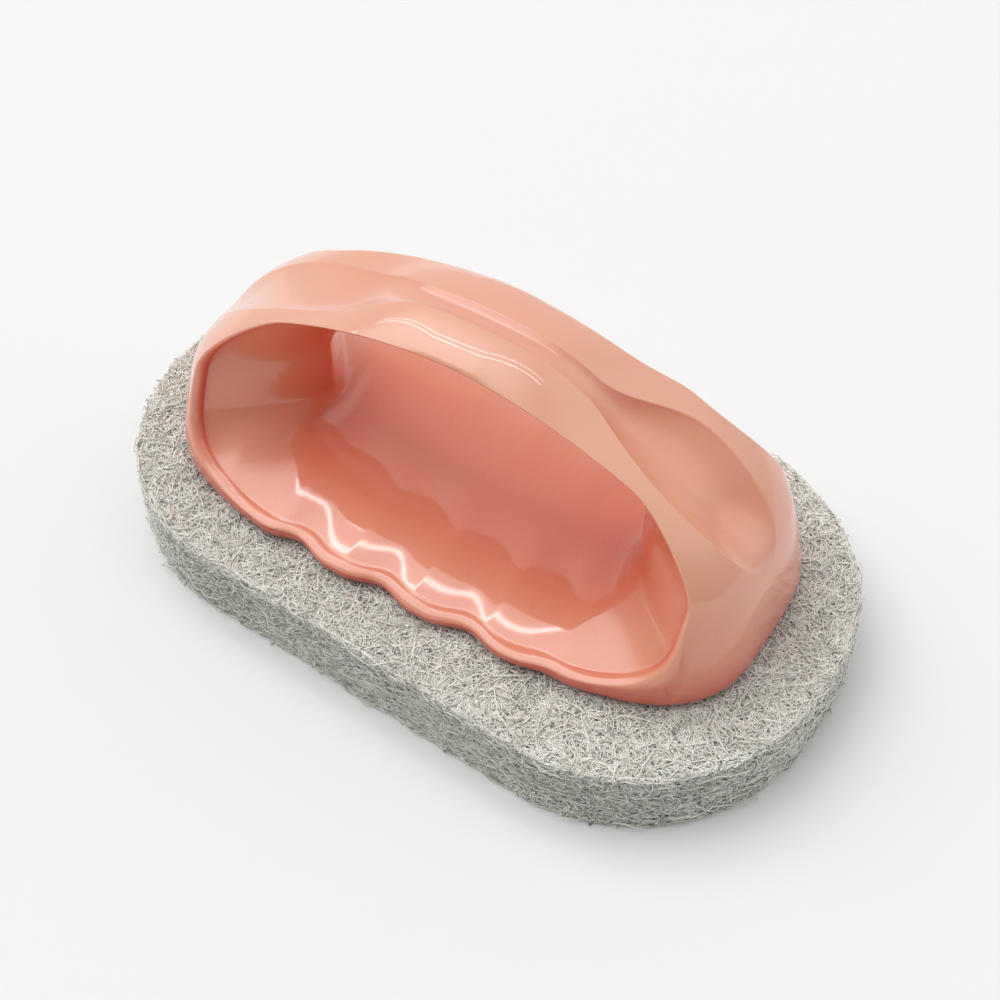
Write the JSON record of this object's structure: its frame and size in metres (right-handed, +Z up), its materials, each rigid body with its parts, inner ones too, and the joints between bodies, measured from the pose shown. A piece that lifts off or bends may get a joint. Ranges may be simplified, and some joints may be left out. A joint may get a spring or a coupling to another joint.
{
  "type": "palm scrubber",
  "caption": "Palm scrubber: a glossy moulded arch handle with an open finger window, bonded to a thick non-woven scouring pad with rounded corners.",
  "frame": {"origin": "middle of the pad's underside, on the surface that the scrubber stands on", "axes": "+X along the pad's length, +Y across it, +Z up through the handle"},
  "size_m": [0.15, 0.085, 0.0666],
  "materials": {
    "pad_fibre_lower": "lofty grey non-woven abrasive fibre",
    "pad_fibre_upper": "lofty grey non-woven abrasive fibre",
    "glue": "cloudy hot-melt adhesive",
    "handle_plastic": "glossy salmon pink moulded plastic, slightly translucent"
  },
  "bodies": {
    "root": {"pad_lower_ply": "pad_fibre_lower", "pad_upper_ply": "pad_fibre_upper", "glue_layer": "glue", "handle": "handle_plastic"}
  },
  "joints": []
}
